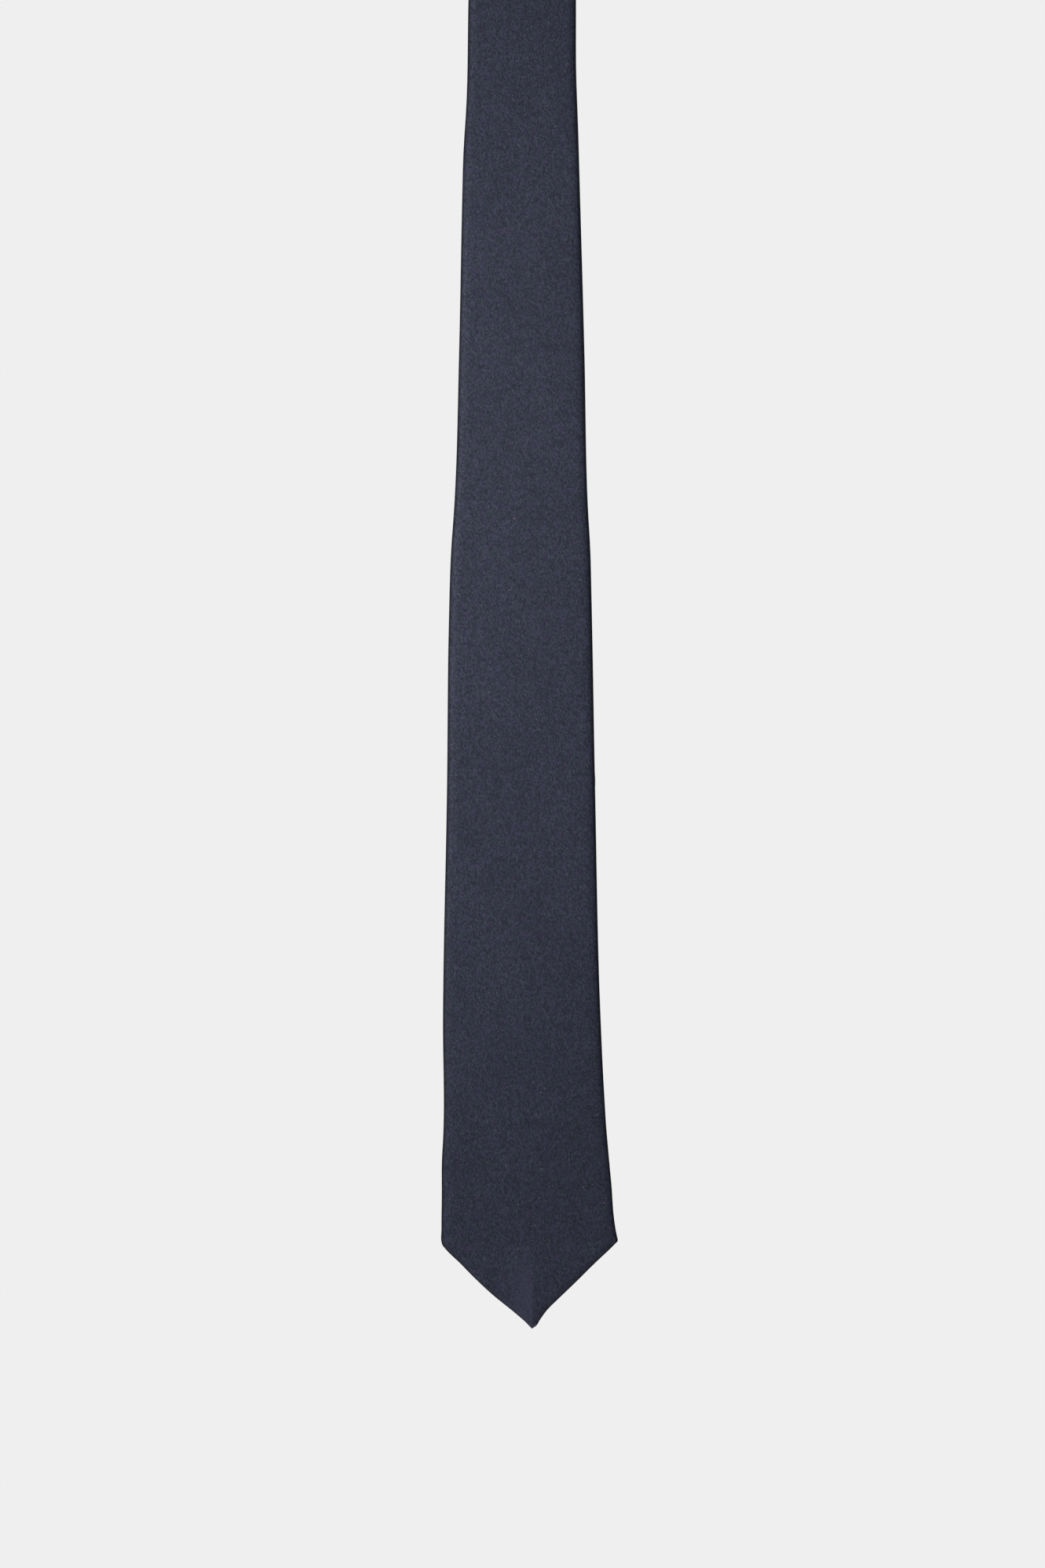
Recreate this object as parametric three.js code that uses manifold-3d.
// A slim necktie hung doubled over a hanger rail: the wide blade in front, the narrow tail behind.
// Millimetres, +Z up, +X across the blade, the blade's front towards -Y.
// The origin is on the inside of the fold, where the top of the rail touches it.
import * as THREE from "three";
import { mergeVertices } from "three/addons/utils/BufferGeometryUtils.js";
import Module from "manifold-3d";

const wasm = await Module();
wasm.setup();

// Lengths along the tie
const TOTAL_LENGTH = 1480; // tip to tip, along the middle of the plies
const BLADE_DROP = 860; // from the origin down to the blade's tip
const RAIL_RADIUS = 6; // the hanger rail that the fold fits over
const FRONT_LEG = 180; // from the origin down to where the blade swings
const BACK_LEG = 180; // from the origin down to where the tail swings
const NECK_WIDTH = 28;

// Plies, from the face of the tie to its back
const SHELL_CLOTH = 0.7;
const INTERLINING_CLOTH = 1.4;
const TIPPING_CLOTH = 0.4;
const PLY_GAP = 0.3; // between any two plies or threads that touch on the real tie
const FOLDED_EDGE = 0.8; // the shell's wall at its folded sides

// Thread and hand stitching
const THREAD = 0.5;
const TACK_THREAD = 0.8;
const STITCH_PITCH = 12;
const STITCH_SWAY = 0.45; // how far the slip stitch runs to either side of the back seam

// The wide blade. Its sides run through these [height above the tip, width] pairs.
const BLADE = {
  name: "blade",
  drop: BLADE_DROP,
  leg: FRONT_LEG,
  width: 60,
  pointHeight: 29,
  sides: [[66, 56], [266, 47.8], [440, 37]],
  hem: 6, // width of the turned hem along the point
  flapMeet: 115, // where the two back flaps part, above the tip
  tippingHeight: 150,
  tackWidth: 8,
  spareLoop: 14,
};

// The keeper loop across the blade's back, and the labels near it
const KEEPER = { height: 14, above: 180, width: 46, opening: 5, foot: 3, rise: 2.5, cloth: 0.8 };
const TACK_BAR = 6; // length of the stitching at each end of the keeper
const MAKER_LABEL = { width: 40, height: 16, above: 216, cloth: 0.4, stitchInset: 1.5 };
const CARE_LABEL = { width: 14, height: 28, above: 140, x: 9, cloth: 0.4 };

// Sizes that follow from those above
const thickness = 2 * SHELL_CLOTH + INTERLINING_CLOTH + TIPPING_CLOTH + 3 * PLY_GAP;
const foldLength = Math.PI * (RAIL_RADIUS + thickness / 2);
const seamOpening = 2 * (STITCH_SWAY + THREAD / 2 + PLY_GAP);
const seamGap = THREAD + 2 * PLY_GAP; // between the neck and a drop, with the seam's thread in it
const interliningStart = SHELL_CLOTH + PLY_GAP;
const tippingStart = interliningStart + INTERLINING_CLOTH + PLY_GAP;
const onBack = thickness + PLY_GAP; // where a piece sewn onto the back begins

// The narrow tail takes what is left of the tie's length.
const TAIL = {
  name: "tail",
  drop: TOTAL_LENGTH - BLADE_DROP + 2 * RAIL_RADIUS - foldLength,
  leg: BACK_LEG,
  width: 38,
  pointHeight: 18.5,
  sides: [[60, 35.5], [300, 29]],
  hem: 5,
  flapMeet: 72,
  tippingHeight: 98,
  tackWidth: 7,
  spareLoop: 11,
};

const finish = (color, roughness) => new THREE.MeshStandardMaterial({ color, roughness, metalness: 0 });
const SATIN = finish(0x393c4b, 0.55);
const LINING = finish(0x2c2f40, 0.4);
const WOOL = finish(0xcfc8b8, 0.95);
const NAVY_THREAD = finish(0x262a3a, 0.6);
const LABEL_SATIN = finish(0x23252f, 0.45);
const CARE_SATIN = finish(0xe4e2dc, 0.5);

// Solids from geometry, and back again
function asSolid(geometry) {
  const bare = geometry.clone();
  bare.deleteAttribute("normal");
  bare.deleteAttribute("uv");
  const merged = mergeVertices(bare, 1e-4);
  return new wasm.Manifold(new wasm.Mesh({
    numProp: 3,
    vertProperties: new Float32Array(merged.attributes.position.array),
    triVerts: new Uint32Array(merged.index.array),
  }));
}

function asGeometry(solid) {
  const { vertProperties, triVerts } = solid.getMesh();
  const geometry = new THREE.BufferGeometry();
  geometry.setAttribute("position", new THREE.BufferAttribute(vertProperties, 3));
  geometry.setIndex(new THREE.BufferAttribute(triVerts, 1));
  geometry.computeVertexNormals();
  return geometry;
}

function piece(name, material, geometry) {
  const mesh = new THREE.Mesh(geometry, material);
  mesh.name = name;
  return mesh;
}

function cut(body, ...tools) {
  return asGeometry(tools.reduce((left, tool) => left.subtract(asSolid(tool)), asSolid(body)));
}

// A drop is laid out in front of the rail. Depth is counted from its face towards its back.
const atDepth = (depth) => depth - RAIL_RADIUS - thickness;

function plate(points, from, to) {
  const shape = new THREE.Shape(points.map(([x, z]) => new THREE.Vector2(x, z)));
  const geometry = new THREE.ExtrudeGeometry(shape, { depth: to - from, bevelEnabled: false });
  return geometry.rotateX(Math.PI / 2).translate(0, atDepth(to), 0);
}

function rectangle(x, halfWidth, low, high) {
  return [[x - halfWidth, low], [x + halfWidth, low], [x + halfWidth, high], [x - halfWidth, high]];
}

// The drop's half width at a height above its tip, straight between its named widths
function halfWidthAt(drop, height) {
  const stations = [
    [drop.pointHeight, drop.width],
    ...drop.sides,
    [drop.drop - drop.leg, NECK_WIDTH],
  ];
  const next = Math.max(1, stations.findIndex(([h]) => h >= height));
  const [[h0, w0], [h1, w1]] = stations.slice(next - 1, next + 1);
  return (w0 + ((w1 - w0) * (height - h0)) / (h1 - h0)) / 2;
}

// The right-hand end of the point's slanted edge and the tip, both moved in by inset
function pointCorners(drop, inset) {
  const slope = drop.pointHeight / (drop.width / 2);
  const tip = inset * Math.hypot(1, slope);
  return { tip, x: drop.width / 2 - inset, shoulder: drop.pointHeight - inset * slope + tip };
}

// The drop's outline, moved in by inset, up to a height; over is how far it runs on past that
function outline(drop, inset, height, over = 0) {
  const { tip, x, shoulder } = pointCorners(drop, inset);
  const between = drop.sides.filter(([h]) => h < height).map(([h, width]) => [width / 2 - inset, h]);
  const top = halfWidthAt(drop, height) - inset;
  const right = [[x, shoulder], ...between, [top, height + over]];
  const left = right.map(([rightX, h]) => [-rightX, h]).reverse();
  return [[0, tip], ...right, ...left].map(([px, h]) => [px, h - drop.drop]);
}

// The shell is a flat sleeve: a face, two folded sides and two back flaps that meet along the
// seam and part towards the point, where the turned hem frames the tipping.
function shell(drop) {
  const height = drop.drop - drop.leg - seamGap / 2;
  const { tip, x, shoulder } = pointCorners(drop, drop.hem);
  const window = [[0, tip], [x, shoulder], [0, drop.flapMeet], [-x, shoulder]];
  const body = plate(outline(drop, 0, height), 0, thickness);
  const hollow = plate(outline(drop, FOLDED_EDGE, height, 1), SHELL_CLOTH, thickness - SHELL_CLOTH);
  const lowered = window.map(([px, h]) => [px, h - drop.drop]);
  const opening = plate(lowered, thickness - SHELL_CLOTH - 0.1, thickness + 1);
  const slitLow = drop.flapMeet - ((drop.flapMeet - shoulder) / x) * (seamOpening / 2);
  const slit = rectangle(0, seamOpening / 2, slitLow - drop.drop, 1 - drop.leg);
  const seam = plate(slit, thickness - SHELL_CLOTH - 0.1, thickness + 1);
  return cut(body, hollow, opening, seam);
}

function interlining(drop) {
  const height = drop.drop - drop.leg - seamGap / 2;
  const edge = outline(drop, FOLDED_EDGE + PLY_GAP, height);
  return plate(edge, interliningStart, interliningStart + INTERLINING_CLOTH);
}

function tipping(drop) {
  const edge = outline(drop, FOLDED_EDGE + PLY_GAP, drop.tippingHeight);
  return plate(edge, tippingStart, tippingStart + TIPPING_CLOTH);
}

// Thread along a run of points
function thread(points, diameter, steps) {
  const ring = Array.from({ length: 6 }, (_, i) => {
    const turn = (i * Math.PI) / 3;
    return new THREE.Vector2(Math.cos(turn), Math.sin(turn)).multiplyScalar(diameter / 2);
  });
  const extrudePath = new THREE.CatmullRomCurve3(points, false, "centripetal");
  return new THREE.ExtrudeGeometry(new THREE.Shape(ring), { steps, extrudePath, bevelEnabled: false });
}

function straightThread(from, to, diameter) {
  const run = new THREE.Vector3().subVectors(to, from);
  const turn = new THREE.Quaternion().setFromUnitVectors(
    new THREE.Vector3(0, 1, 0), run.clone().normalize());
  return new THREE.CylinderGeometry(diameter / 2, diameter / 2, run.length(), 8)
    .applyQuaternion(turn)
    .translate(...new THREE.Vector3().addVectors(from, to).multiplyScalar(0.5).toArray());
}

// The slip stitch sways from one flap to the other between two distances along the seam.
function slipStitch(from, to, place) {
  const count = Math.floor((to - from) / STITCH_PITCH);
  const points = Array.from({ length: 2 * count + 1 }, (_, i) => {
    const along = from + ((to - from) * i) / (2 * count);
    const sway = [0, 1, 0, -1][i % 4] * STITCH_SWAY;
    return place(along, sway);
  });
  return thread(points, THREAD, 2 * count);
}

const flapDepth = thickness - SHELL_CLOTH / 2;

function dropSlipStitch(drop) {
  const height = drop.drop - drop.leg;
  return slipStitch(drop.flapMeet + THREAD, height - seamGap, (along, sway) =>
    new THREE.Vector3(sway, atDepth(flapDepth), along - drop.drop));
}

// The seam that holds the tipping to the hem, just inside the hem's edge
function tippingStitch(drop) {
  const { tip, x, shoulder } = pointCorners(drop, drop.hem + PLY_GAP + THREAD);
  const corners = [[-x, shoulder], [0, tip], [x, shoulder]];
  const points = corners.map(([px, h]) => new THREE.Vector3(px, atDepth(flapDepth), h - drop.drop));
  const [left, middle, right] = points;
  const run = [left, left.clone().lerp(middle, 0.5), left.clone().lerp(middle, 0.9),
    right.clone().lerp(middle, 0.9), right.clone().lerp(middle, 0.5), right];
  return thread(run, THREAD, 10);
}

// A hairpin of spare thread, left where the flaps part so that the tie can give
function spareLoop(drop) {
  const top = drop.flapMeet - drop.drop - 2 * THREAD;
  const belly = 3 * THREAD;
  const side = [[STITCH_SWAY, 0], [STITCH_SWAY, 0.35], [belly, 0.75], [0.7 * belly, 0.95]];
  const run = [...side, [0, 1], ...side.map(([x, share]) => [-x, share]).reverse()];
  const points = run.map(([x, share]) =>
    new THREE.Vector3(x, atDepth(flapDepth), top - share * drop.spareLoop));
  return thread(points, THREAD, 20);
}

function barTack(drop) {
  const depth = atDepth(onBack + TACK_THREAD / 2);
  const z = drop.flapMeet + TACK_THREAD - drop.drop;
  const ends = [-1, 1].map((side) => new THREE.Vector3((side * drop.tackWidth) / 2, depth, z));
  return straightThread(...ends, TACK_THREAD);
}

// The thread of the seam between the neck and a drop, round the sleeve from flap to flap
function piecingStitch(leg) {
  const x = NECK_WIDTH / 2 - FOLDED_EDGE / 2;
  const [face, back] = [SHELL_CLOTH / 2, flapDepth];
  const round = (back - face) / 2;
  const side = [[seamOpening / 2, back], [x - round, back], [x, (face + back) / 2],
    [x - round, face], [x / 2, face]];
  const run = [...side, ...side.map(([px, depth]) => [-px, depth]).reverse()];
  return thread(run.map(([px, depth]) => new THREE.Vector3(px, atDepth(depth), -leg)), THREAD, 28);
}

// A drop of the tie, with every ply and thread that swings with it
function dropOf(drop) {
  const group = new THREE.Group();
  group.add(
    piece(`${drop.name}_shell`, SATIN, shell(drop)),
    piece(`${drop.name}_interlining`, WOOL, interlining(drop)),
    piece(`${drop.name}_tipping`, LINING, tipping(drop)),
    piece(`${drop.name}_tipping_stitch`, NAVY_THREAD, tippingStitch(drop)),
    piece(`${drop.name}_slip_stitch`, NAVY_THREAD, dropSlipStitch(drop)),
    piece(`${drop.name}_spare_loop`, NAVY_THREAD, spareLoop(drop)),
    piece(`${drop.name}_bar_tack`, NAVY_THREAD, barTack(drop)),
  );
  return group;
}

// The neck: a band bent over the rail, with a leg down each side
function bentBand(inner, outer, legs, width) {
  const [front, back] = legs;
  const shape = new THREE.Shape();
  shape.moveTo(-outer, -front);
  shape.lineTo(-outer, -RAIL_RADIUS);
  shape.absarc(0, -RAIL_RADIUS, outer, Math.PI, 0, true);
  shape.lineTo(outer, -back);
  shape.lineTo(inner, -back);
  shape.absarc(0, -RAIL_RADIUS, inner, 0, Math.PI, false);
  shape.lineTo(-inner, -front);
  const options = { depth: width, bevelEnabled: false, curveSegments: 24 };
  const acrossX = new THREE.Matrix4().makeBasis(
    new THREE.Vector3(0, 1, 0), new THREE.Vector3(0, 0, 1), new THREE.Vector3(1, 0, 0));
  return new THREE.ExtrudeGeometry(shape, options).applyMatrix4(acrossX).translate(-width / 2, 0, 0);
}

const neckLegs = (over = 0) => [FRONT_LEG, BACK_LEG].map((leg) => leg - seamGap / 2 + over);

function neckShell() {
  const back = RAIL_RADIUS;
  const face = RAIL_RADIUS + thickness;
  const body = bentBand(back, face, neckLegs(), NECK_WIDTH);
  const width = NECK_WIDTH - 2 * FOLDED_EDGE;
  const hollow = bentBand(back + SHELL_CLOTH, face - SHELL_CLOTH, neckLegs(1), width);
  const seam = bentBand(back - 1, back + SHELL_CLOTH + 0.1, neckLegs(1), seamOpening);
  return cut(body, hollow, seam);
}

function neckInterlining() {
  const inner = RAIL_RADIUS + thickness - interliningStart - INTERLINING_CLOTH;
  const width = NECK_WIDTH - 2 * (FOLDED_EDGE + PLY_GAP);
  return bentBand(inner, inner + INTERLINING_CLOTH, neckLegs(), width);
}

// A place along the neck's back seam, counted from the front leg's end over the rail
function alongNeckSeam(along, sway) {
  const radius = RAIL_RADIUS + SHELL_CLOTH / 2;
  const rise = FRONT_LEG - RAIL_RADIUS;
  const over = along - rise;
  if (over < 0) return new THREE.Vector3(sway, -radius, along - FRONT_LEG);
  const turn = over / radius;
  if (turn > Math.PI) {
    return new THREE.Vector3(sway, radius, Math.PI * radius - over - RAIL_RADIUS);
  }
  return new THREE.Vector3(sway, -radius * Math.cos(turn), radius * Math.sin(turn) - RAIL_RADIUS);
}

function neckSlipStitch() {
  const radius = RAIL_RADIUS + SHELL_CLOTH / 2;
  const length = FRONT_LEG + BACK_LEG - 2 * RAIL_RADIUS + Math.PI * radius;
  return slipStitch(seamGap, length - seamGap, alongNeckSeam);
}

function neck() {
  const group = new THREE.Group();
  const backStitch = piece("back_piecing_stitch", NAVY_THREAD, piecingStitch(BACK_LEG));
  backStitch.rotation.z = Math.PI;
  group.add(
    piece("neck_shell", SATIN, neckShell()),
    piece("neck_interlining", WOOL, neckInterlining()),
    piece("neck_slip_stitch", NAVY_THREAD, neckSlipStitch()),
    piece("front_piecing_stitch", NAVY_THREAD, piecingStitch(FRONT_LEG)),
    backStitch,
  );
  return group;
}

// The keeper loop: a bowed band of the shell's cloth, sewn down at both ends
function keeperLoop() {
  const foot = atDepth(onBack);
  const crown = atDepth(thickness) + KEEPER.opening;
  const end = KEEPER.width / 2;
  const bend = end - KEEPER.foot;
  const inside = [[end, foot], [bend, foot], [bend - KEEPER.rise, crown]];
  const lean = KEEPER.cloth / 2;
  const outside = [[end, foot + KEEPER.cloth], [bend + lean, foot + KEEPER.cloth],
    [bend - KEEPER.rise + lean, crown + KEEPER.cloth]];
  const bow = (side) => [...side, ...side.map(([x, y]) => [-x, y]).reverse()];
  const ring = [...bow(inside), ...bow(outside).reverse()];
  const shape = new THREE.Shape(ring.map(([x, y]) => new THREE.Vector2(x, y)));
  const options = { depth: KEEPER.height, bevelEnabled: false };
  return new THREE.ExtrudeGeometry(shape, options).translate(0, 0, KEEPER.above - BLADE_DROP);
}

function keeperTack(side) {
  const x = side * (KEEPER.width / 2 + PLY_GAP + TACK_THREAD / 2);
  const depth = atDepth(onBack + TACK_THREAD / 2);
  const middle = KEEPER.above + KEEPER.height / 2 - BLADE_DROP;
  const ends = [-1, 1].map((end) => new THREE.Vector3(x, depth, middle + (end * TACK_BAR) / 2));
  return straightThread(...ends, TACK_THREAD);
}

function labelPlate(label, x) {
  const low = label.above - BLADE_DROP;
  return plate(rectangle(x, label.width / 2, low, low + label.height), onBack, onBack + label.cloth);
}

function makerLabelStitch(side) {
  const x = side * (MAKER_LABEL.width / 2 - MAKER_LABEL.stitchInset);
  const depth = atDepth(onBack + MAKER_LABEL.cloth + PLY_GAP + THREAD / 2);
  const low = MAKER_LABEL.above - BLADE_DROP + MAKER_LABEL.stitchInset;
  const high = low + MAKER_LABEL.height - 2 * MAKER_LABEL.stitchInset;
  return straightThread(new THREE.Vector3(x, depth, low), new THREE.Vector3(x, depth, high), THREAD);
}

function careLabelStitch() {
  const depth = atDepth(onBack + THREAD / 2);
  const z = CARE_LABEL.above + CARE_LABEL.height + PLY_GAP + THREAD / 2 - BLADE_DROP;
  const ends = [-1, 1].map((side) =>
    new THREE.Vector3(CARE_LABEL.x + (side * CARE_LABEL.width) / 2, depth, z));
  return straightThread(...ends, THREAD);
}

function backFittings() {
  const group = new THREE.Group();
  group.add(
    piece("keeper_loop", SATIN, keeperLoop()),
    piece("keeper_tack_left", NAVY_THREAD, keeperTack(-1)),
    piece("keeper_tack_right", NAVY_THREAD, keeperTack(1)),
    piece("maker_label", LABEL_SATIN, labelPlate(MAKER_LABEL, 0)),
    piece("maker_label_stitch_left", NAVY_THREAD, makerLabelStitch(-1)),
    piece("maker_label_stitch_right", NAVY_THREAD, makerLabelStitch(1)),
    piece("care_label", CARE_SATIN, labelPlate(CARE_LABEL, CARE_LABEL.x)),
    piece("care_label_stitch", NAVY_THREAD, careLabelStitch()),
  );
  return group;
}

const tail = dropOf(TAIL);
tail.rotation.z = Math.PI;

const necktie = new THREE.Group();
necktie.add(neck(), dropOf(BLADE), backFittings(), tail);

export default necktie;
